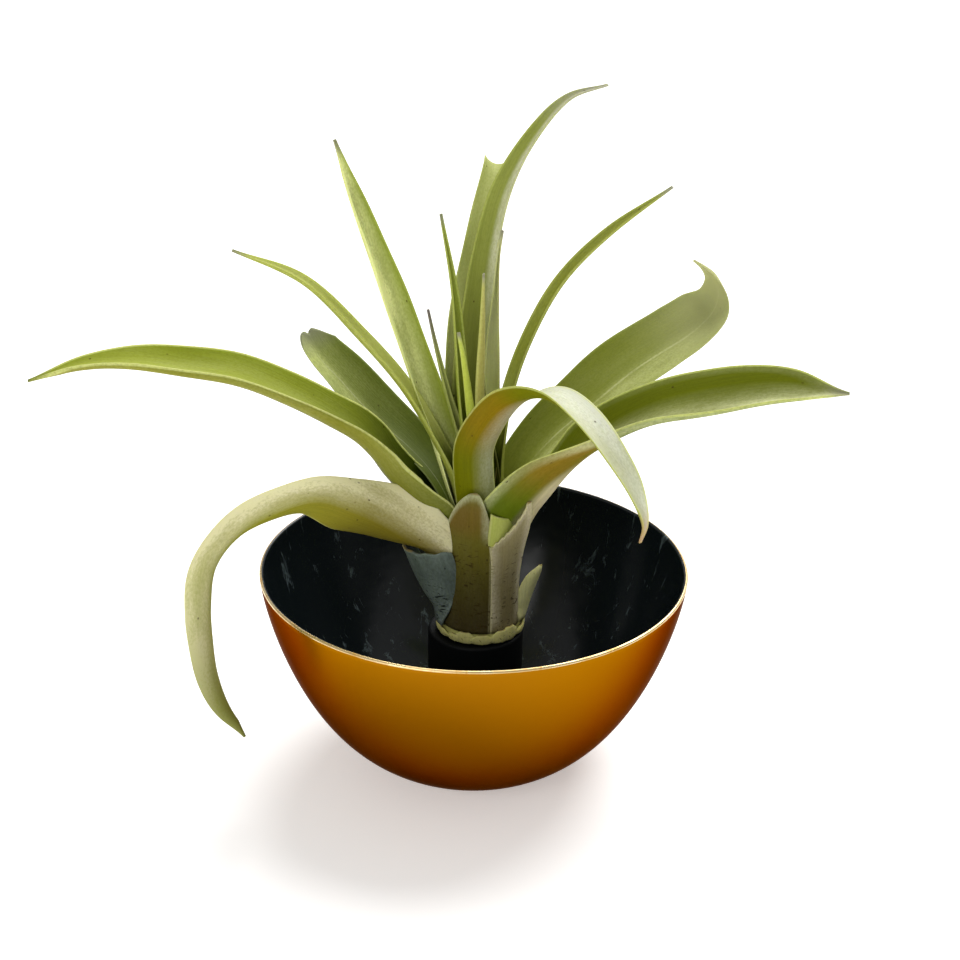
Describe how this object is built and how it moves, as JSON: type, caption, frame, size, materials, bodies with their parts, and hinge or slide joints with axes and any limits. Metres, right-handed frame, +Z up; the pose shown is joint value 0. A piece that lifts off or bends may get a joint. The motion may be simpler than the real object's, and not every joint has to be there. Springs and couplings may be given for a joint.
{
  "type": "potted air plant",
  "caption": "Rosette air plant with narrow arching leaves, standing on a black support inside a flared round metal bowl.",
  "frame": {"origin": "centre of the bowl's flat foot, on the surface it stands on", "axes": "+Z up, +X to the right and +Y away from the viewer in the pictured view"},
  "size_m": [0.216, 0.1341, 0.1868],
  "materials": {
    "bowl_metal": "satin orange gold outside, gloss near-black enamel inside, bright rim",
    "stand_black": "near-black, semi-gloss",
    "old_growth": "matt, tan to olive brown, scratched",
    "leaf_young": "soft satin, fresh yellow-green with pale edges",
    "leaf_green": "soft satin, yellow-green to olive with a silvery bloom",
    "leaf_silver": "matt silvery scales over olive green",
    "dry_sheath": "papery, bluish grey with dark streaks"
  },
  "bodies": {
    "root": {"bowl": "bowl_metal", "stand": "stand_black", "stem": "old_growth", "leaf_young_center": "leaf_young", "leaf_young_front": "leaf_young", "leaf_needle": "leaf_young", "leaf_pale_back": "leaf_young", "leaf_young_left": "leaf_young", "leaf_tallest": "leaf_green", "leaf_tall_back": "leaf_green", "leaf_tall_left": "leaf_green", "leaf_thin_right": "leaf_green", "leaf_thin_left": "leaf_green", "leaf_arched_front": "leaf_silver", "leaf_broad_right": "leaf_green", "leaf_broad_left": "leaf_silver", "leaf_low_back": "leaf_green", "leaf_long_left": "leaf_green", "leaf_long_right": "leaf_green", "leaf_drooping_left": "leaf_silver", "stub_cut": "leaf_young", "stub_torn": "old_growth", "stub_front": "old_growth", "stub_right": "old_growth", "sheath_dry": "dry_sheath"}
  },
  "joints": []
}
